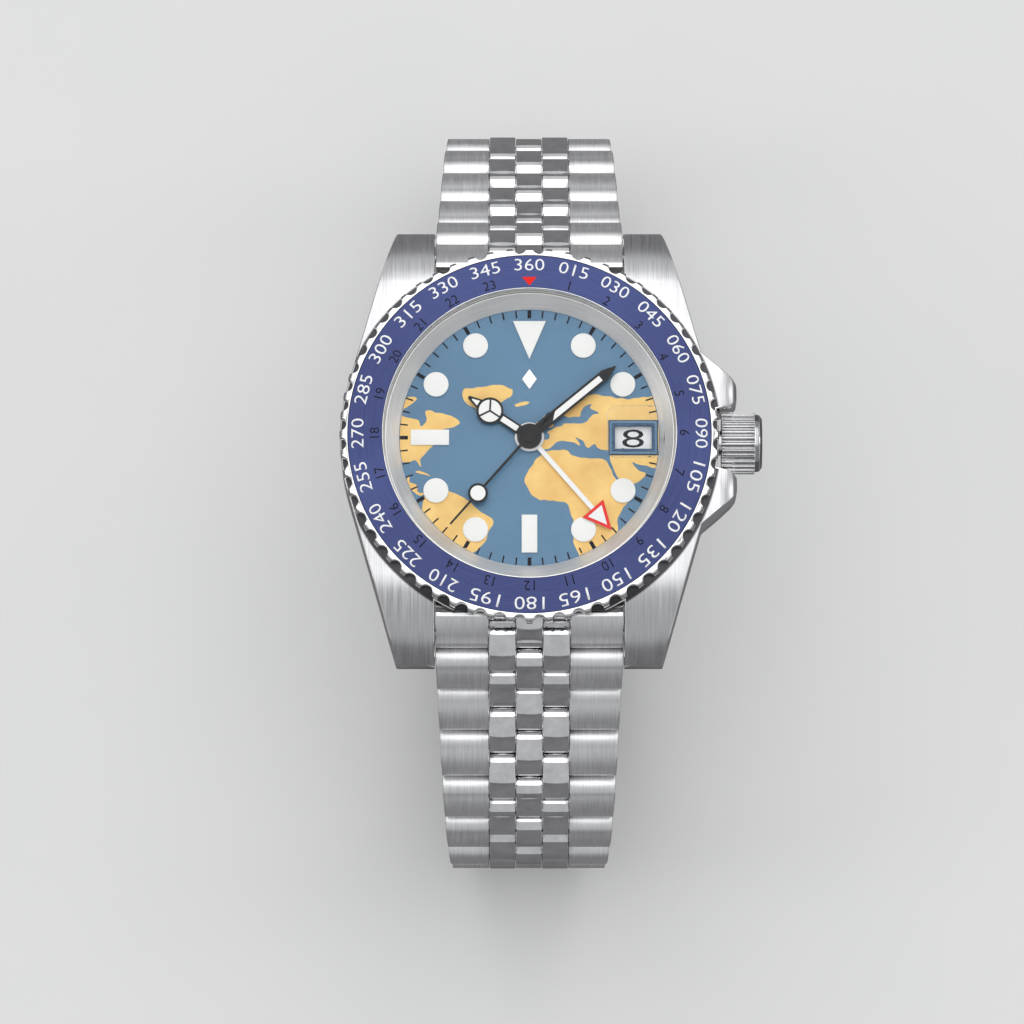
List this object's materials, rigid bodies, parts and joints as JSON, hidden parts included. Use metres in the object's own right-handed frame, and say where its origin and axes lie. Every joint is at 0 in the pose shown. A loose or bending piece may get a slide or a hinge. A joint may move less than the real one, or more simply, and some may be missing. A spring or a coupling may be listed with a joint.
{
  "type": "wrist watch",
  "caption": "Two-time-zone automatic wrist watch with a turning bezel, map dial, date window and five-column steel bracelet with a folding clasp, standing on its clasp.",
  "frame": {"origin": "on the floor at the clasp cover's flat outer face, straight under the middle of the dial", "axes": "+Z is the dial's normal, +Y points to twelve o'clock, +X to three o'clock and the crown"},
  "size_m": [0.0446, 0.0808, 0.0595],
  "materials": {
    "steel_brushed": "fine straight brushing",
    "steel_polished": "mirror polish",
    "insert_blue": "anodised blue with printed plain numbers",
    "dial_blue": "blue and gold lacquer",
    "lume_white": "matt white",
    "hand_black": "gloss black",
    "glass_clear": "clear polished",
    "movement_steel": "grained nickel",
    "wheel_brass": "gilt",
    "spring_blue": "blued",
    "seal_white": "moulded nylon",
    "date_white": "matt print"
  },
  "bodies": {
    "case": {"mid_case": "steel_brushed", "lug_spring_bars": "steel_brushed", "bezel_click_spring": "movement_steel", "crystal": "glass_clear", "date_magnifier": "glass_clear", "gaskets": "seal_white", "rehaut_ring": "steel_brushed", "case_back": "steel_brushed", "back_crystal": "glass_clear", "movement_holder": "seal_white", "crown_tube": "steel_polished", "dial": "dial_blue", "hour_markers": "lume_white", "main_plate": "movement_steel", "train_bridge": "movement_steel", "hairspring": "spring_blue", "balance_cock": "movement_steel", "rotor_bearing": "movement_steel", "end_link_12": "steel_brushed", "end_link_6": "steel_brushed"},
    "bezel": {"bezel_ring": "steel_polished", "bezel_insert": "insert_blue"},
    "minutes": {"minute_hand": "hand_black", "center_wheel": "wheel_brass"},
    "hours": {"hour_hand": "hand_black"},
    "second_zone": {"zone_hand": "lume_white"},
    "seconds": {"second_hand": "hand_black", "seconds_wheel": "wheel_brass"},
    "third": {"third_wheel": "wheel_brass"},
    "escape": {"escape_wheel": "wheel_brass"},
    "pallet": {"pallet_fork": "movement_steel"},
    "balance": {"balance_wheel": "wheel_brass"},
    "barrel": {"mainspring_barrel": "wheel_brass"},
    "date": {"date_disc": "date_white"},
    "rotor": {"rotor": "movement_steel"},
    "winding": {"winding_pinion": "wheel_brass"},
    "crown": {"crown": "steel_polished", "winding_stem": "steel_polished"},
    "strand_12_1": {"link_12_1": "steel_brushed"},
    "strand_12_2": {"link_12_2": "steel_brushed"},
    "strand_12_3": {"link_12_3": "steel_brushed"},
    "strand_12_4": {"link_12_4": "steel_brushed"},
    "strand_12_5": {"link_12_5": "steel_brushed"},
    "strand_12_6": {"link_12_6": "steel_brushed"},
    "strand_12_7": {"link_12_7": "steel_brushed"},
    "strand_12_8": {"link_12_8": "steel_brushed"},
    "strand_12_9": {"link_12_9": "steel_brushed"},
    "strand_6_1": {"link_6_1": "steel_brushed"},
    "strand_6_2": {"link_6_2": "steel_brushed"},
    "strand_6_3": {"link_6_3": "steel_brushed"},
    "strand_6_4": {"link_6_4": "steel_brushed"},
    "strand_6_5": {"link_6_5": "steel_brushed"},
    "strand_6_6": {"link_6_6": "steel_brushed"},
    "strand_6_7": {"link_6_7": "steel_brushed"},
    "strand_6_8": {"link_6_8": "steel_brushed"},
    "strand_6_9": {"link_6_9": "steel_brushed"},
    "clasp": {"clasp_cover": "steel_brushed"},
    "blade_outer": {"clasp_blade_outer": "steel_brushed"},
    "blade_inner": {"clasp_blade_inner": "steel_brushed"},
    "latch": {"clasp_latch": "steel_brushed"}
  },
  "joints": [
    {"name": "bezel_turn", "type": "hinge", "parent": "case", "child": "bezel", "pos_m": [0, 0, 0.05554], "axis": [0, 0, 1], "continuous": true},
    {"name": "minute_turn", "type": "hinge", "parent": "case", "child": "minutes", "pos_m": [0, 0, 0.05554], "axis": [0, 0, -1], "continuous": true},
    {"name": "hour_turn", "type": "hinge", "parent": "case", "child": "hours", "pos_m": [0, 0, 0.05554], "axis": [0, 0, -1], "continuous": true},
    {"name": "zone_turn", "type": "hinge", "parent": "case", "child": "second_zone", "pos_m": [0, 0, 0.05554], "axis": [0, 0, -1], "continuous": true},
    {"name": "barrel_turn", "type": "hinge", "parent": "case", "child": "barrel", "pos_m": [0.00285, -0.00494, 0.05214], "axis": [0, 0, -1], "continuous": true},
    {"name": "second_turn", "type": "hinge", "parent": "case", "child": "seconds", "pos_m": [0, 0, 0.05554], "axis": [0, 0, -1], "continuous": true},
    {"name": "third_turn", "type": "hinge", "parent": "case", "child": "third", "pos_m": [-0.00245, 0.00424, 0.05214], "axis": [0, 0, -1], "continuous": true},
    {"name": "escape_turn", "type": "hinge", "parent": "case", "child": "escape", "pos_m": [-0.00448, -0.00079, 0.05214], "axis": [0, 0, -1], "continuous": true},
    {"name": "balance_swing", "type": "hinge", "parent": "case", "child": "balance", "pos_m": [-0.00937, -0.00421, 0.05154], "axis": [0, 0, 1], "range_deg": [-130, 130]},
    {"name": "pallet_rock", "type": "hinge", "parent": "case", "child": "pallet", "pos_m": [-0.00686, -0.00245, 0.05214], "axis": [0, 0, 1], "range_deg": [-5, 5]},
    {"name": "date_turn", "type": "hinge", "parent": "case", "child": "date", "pos_m": [0, 0, 0.05554], "axis": [0, 0, 1], "continuous": true},
    {"name": "rotor_turn", "type": "hinge", "parent": "case", "child": "rotor", "pos_m": [0, 0, 0.04904], "axis": [0, 0, 1], "continuous": true},
    {"name": "crown_turn", "type": "hinge", "parent": "case", "child": "winding", "pos_m": [0, 0, 0.05224], "axis": [1, 0, 0], "continuous": true},
    {"name": "crown_pull", "type": "slide", "parent": "winding", "child": "crown", "axis": [1, 0, 0], "range_m": [0, 0.002]},
    {"name": "bracelet_12_1", "type": "hinge", "parent": "case", "child": "strand_12_1", "pos_m": [0, 0.02232, 0.04851], "axis": [1, 0, 0], "range_deg": [0, 64]},
    {"name": "bracelet_12_2", "type": "hinge", "parent": "strand_12_1", "child": "strand_12_2", "pos_m": [0, 0.02521, 0.04258], "axis": [1, 0, 0], "range_deg": [-13, 0]},
    {"name": "bracelet_12_3", "type": "hinge", "parent": "strand_12_2", "child": "strand_12_3", "pos_m": [0, 0.02937, 0.03745], "axis": [1, 0, 0], "range_deg": [-13, 0]},
    {"name": "bracelet_12_4", "type": "hinge", "parent": "strand_12_3", "child": "strand_12_4", "pos_m": [0, 0.03361, 0.0324], "axis": [1, 0, 0], "range_deg": [0, 17.5]},
    {"name": "bracelet_12_5", "type": "hinge", "parent": "strand_12_4", "child": "strand_12_5", "pos_m": [0, 0.03676, 0.0266], "axis": [1, 0, 0], "range_deg": [0, 19]},
    {"name": "bracelet_12_6", "type": "hinge", "parent": "strand_12_5", "child": "strand_12_6", "pos_m": [0, 0.03852, 0.02024], "axis": [1, 0, 0], "range_deg": [0, 14.5]},
    {"name": "bracelet_12_7", "type": "hinge", "parent": "strand_12_6", "child": "strand_12_7", "pos_m": [0, 0.03864, 0.01364], "axis": [1, 0, 0], "range_deg": [0, 29]},
    {"name": "bracelet_12_8", "type": "hinge", "parent": "strand_12_7", "child": "strand_12_8", "pos_m": [0, 0.03554, 0.00781], "axis": [1, 0, 0], "range_deg": [0, 28]},
    {"name": "bracelet_12_9", "type": "hinge", "parent": "strand_12_8", "child": "strand_12_9", "pos_m": [0, 0.03007, 0.00412], "axis": [1, 0, 0], "range_deg": [0, 26]},
    {"name": "bracelet_6_1", "type": "hinge", "parent": "case", "child": "strand_6_1", "pos_m": [0, -0.02232, 0.04851], "axis": [-1, 0, 0], "range_deg": [0, 64]},
    {"name": "bracelet_6_2", "type": "hinge", "parent": "strand_6_1", "child": "strand_6_2", "pos_m": [0, -0.02521, 0.04258], "axis": [-1, 0, 0], "range_deg": [-13, 0]},
    {"name": "bracelet_6_3", "type": "hinge", "parent": "strand_6_2", "child": "strand_6_3", "pos_m": [0, -0.02937, 0.03745], "axis": [-1, 0, 0], "range_deg": [-13, 0]},
    {"name": "bracelet_6_4", "type": "hinge", "parent": "strand_6_3", "child": "strand_6_4", "pos_m": [0, -0.03361, 0.0324], "axis": [-1, 0, 0], "range_deg": [0, 17.5]},
    {"name": "bracelet_6_5", "type": "hinge", "parent": "strand_6_4", "child": "strand_6_5", "pos_m": [0, -0.03676, 0.0266], "axis": [-1, 0, 0], "range_deg": [0, 19]},
    {"name": "bracelet_6_6", "type": "hinge", "parent": "strand_6_5", "child": "strand_6_6", "pos_m": [0, -0.03852, 0.02024], "axis": [-1, 0, 0], "range_deg": [0, 14.5]},
    {"name": "bracelet_6_7", "type": "hinge", "parent": "strand_6_6", "child": "strand_6_7", "pos_m": [0, -0.03864, 0.01364], "axis": [-1, 0, 0], "range_deg": [0, 29]},
    {"name": "bracelet_6_8", "type": "hinge", "parent": "strand_6_7", "child": "strand_6_8", "pos_m": [0, -0.03554, 0.00781], "axis": [-1, 0, 0], "range_deg": [0, 28]},
    {"name": "bracelet_6_9", "type": "hinge", "parent": "strand_6_8", "child": "strand_6_9", "pos_m": [0, -0.03007, 0.00412], "axis": [-1, 0, 0], "range_deg": [0, 26]},
    {"name": "clasp_tilt", "type": "hinge", "parent": "strand_6_9", "child": "clasp", "pos_m": [0, -0.02353, 0.0032], "axis": [-1, 0, 0], "range_deg": [0, 8]},
    {"name": "clasp_unfold", "type": "hinge", "parent": "clasp", "child": "blade_outer", "pos_m": [0, 0.01963, 0.002], "axis": [-1, 0, 0], "range_deg": [0, 60]},
    {"name": "blade_unfold", "type": "hinge", "parent": "blade_outer", "child": "blade_inner", "pos_m": [0, -0.00637, 0.00267], "axis": [1, 0, 0], "range_deg": [0, 60]},
    {"name": "latch_open", "type": "hinge", "parent": "clasp", "child": "latch", "pos_m": [0, -0.02073, 0.00085], "axis": [-1, 0, 0], "range_deg": [0, 110]}
  ],
  "couplings": [
    {"joint": "hour_turn", "follows": "minute_turn", "ratio": 0.083333},
    {"joint": "zone_turn", "follows": "minute_turn", "ratio": 0.041667},
    {"joint": "barrel_turn", "follows": "minute_turn", "ratio": -0.16667},
    {"joint": "third_turn", "follows": "second_turn", "ratio": -0.13333},
    {"joint": "escape_turn", "follows": "second_turn", "ratio": -8.75},
    {"joint": "pallet_rock", "follows": "balance_swing", "ratio": 0.038462},
    {"joint": "bracelet_12_2", "follows": "bracelet_12_1", "ratio": -0.20312},
    {"joint": "bracelet_12_3", "follows": "bracelet_12_1", "ratio": -0.20312},
    {"joint": "bracelet_12_4", "follows": "bracelet_12_1", "ratio": 0.27344},
    {"joint": "bracelet_12_5", "follows": "bracelet_12_1", "ratio": 0.29688},
    {"joint": "bracelet_12_6", "follows": "bracelet_12_1", "ratio": 0.22656},
    {"joint": "bracelet_12_7", "follows": "bracelet_12_1", "ratio": 0.45312},
    {"joint": "bracelet_12_8", "follows": "bracelet_12_1", "ratio": 0.4375},
    {"joint": "bracelet_12_9", "follows": "bracelet_12_1", "ratio": 0.40625},
    {"joint": "bracelet_6_2", "follows": "bracelet_6_1", "ratio": -0.20312},
    {"joint": "bracelet_6_3", "follows": "bracelet_6_1", "ratio": -0.20312},
    {"joint": "bracelet_6_4", "follows": "bracelet_6_1", "ratio": 0.27344},
    {"joint": "bracelet_6_5", "follows": "bracelet_6_1", "ratio": 0.29688},
    {"joint": "bracelet_6_6", "follows": "bracelet_6_1", "ratio": 0.22656},
    {"joint": "bracelet_6_7", "follows": "bracelet_6_1", "ratio": 0.45312},
    {"joint": "bracelet_6_8", "follows": "bracelet_6_1", "ratio": 0.4375},
    {"joint": "bracelet_6_9", "follows": "bracelet_6_1", "ratio": 0.40625},
    {"joint": "clasp_tilt", "follows": "bracelet_6_1", "ratio": 0.125},
    {"joint": "blade_unfold", "follows": "clasp_unfold", "ratio": 1}
  ]
}
